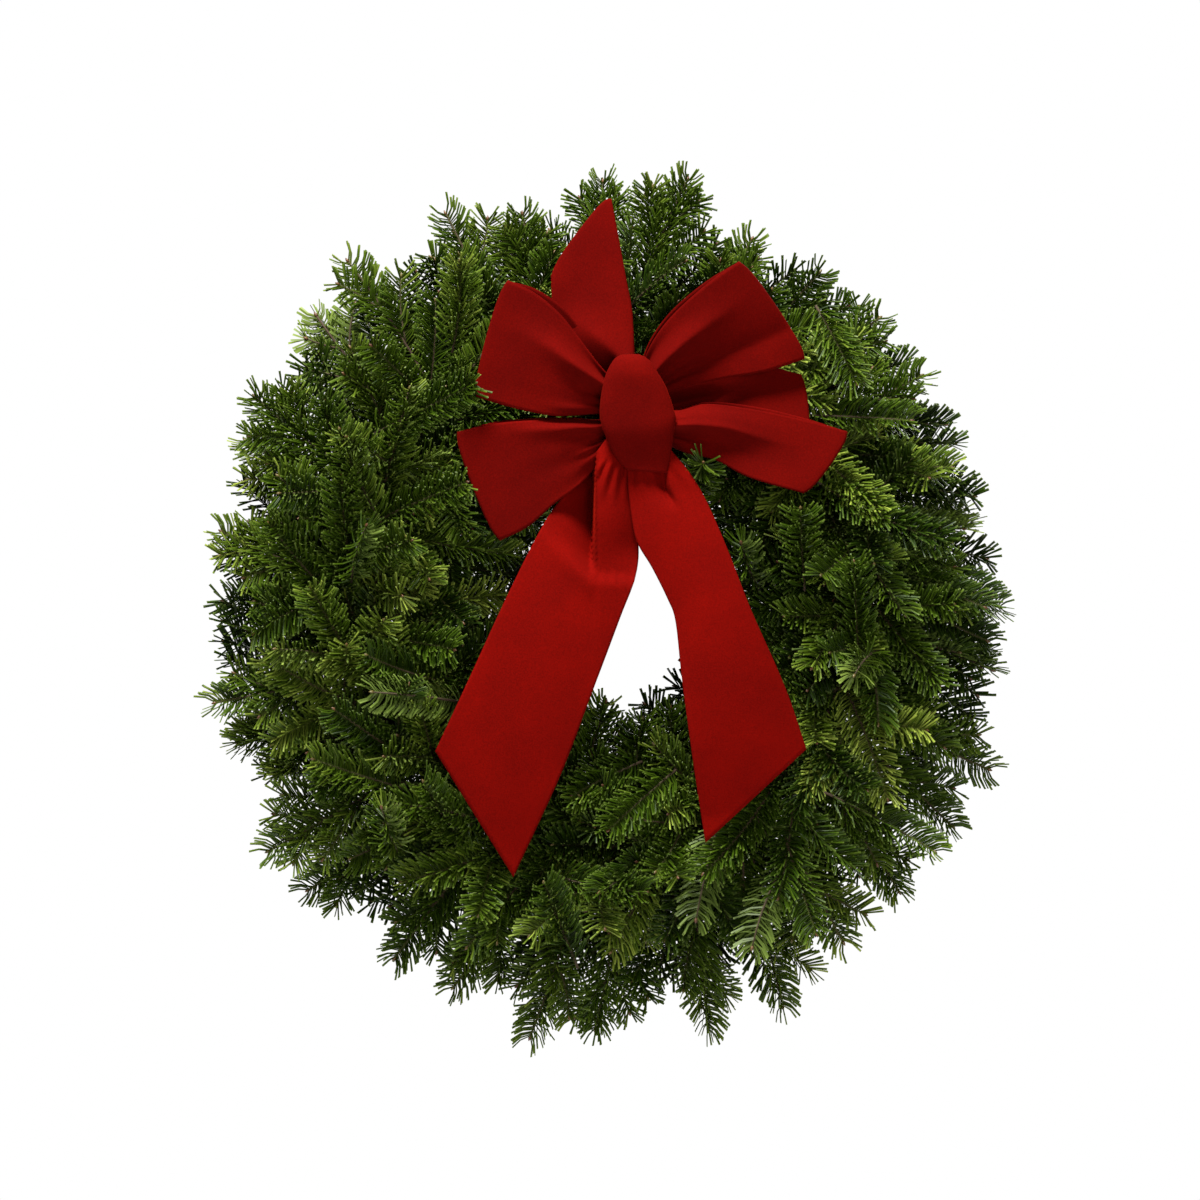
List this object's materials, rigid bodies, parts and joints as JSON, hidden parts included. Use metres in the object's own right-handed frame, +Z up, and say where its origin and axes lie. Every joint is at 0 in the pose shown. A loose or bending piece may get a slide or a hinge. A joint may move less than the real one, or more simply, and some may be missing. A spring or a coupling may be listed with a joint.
{
  "type": "fresh evergreen wreath",
  "caption": "Hanging wreath of fir bundles clamped round a steel ring, with a looped red velvet bow and two slanted tails over its front.",
  "frame": {"origin": "where a hook carries the steel ring: the underside of the ring's wire at the top of the wreath", "axes": "+Z up as it hangs, -Y out of the front of the wreath towards the viewer, +X to the viewer's right"},
  "size_m": [0.58, 0.1709, 0.6187],
  "materials": {
    "painted_steel": "satin",
    "fir": "satin",
    "fir_bark": "matte",
    "velvet": "matte",
    "tie_wire": "satin"
  },
  "bodies": {
    "root": {"clamp_ring": "painted_steel", "fir_bundle_01": "fir", "fir_bundle_02": "fir", "fir_bundle_03": "fir", "fir_bundle_04": "fir", "fir_bundle_05": "fir", "fir_bundle_06": "fir", "fir_bundle_07": "fir", "fir_bundle_08": "fir", "fir_bundle_09": "fir", "fir_bundle_10": "fir", "fir_bundle_11": "fir", "fir_bundle_12": "fir", "fir_bundle_13": "fir", "fir_bundle_14": "fir", "fir_bundle_15": "fir", "fir_bundle_16": "fir", "bow_loops_front": "velvet", "bow_loops_middle": "velvet", "bow_loops_back": "velvet", "bow_tails": "velvet", "bow_knot": "velvet", "bow_tie_wire": "tie_wire"}
  },
  "joints": []
}
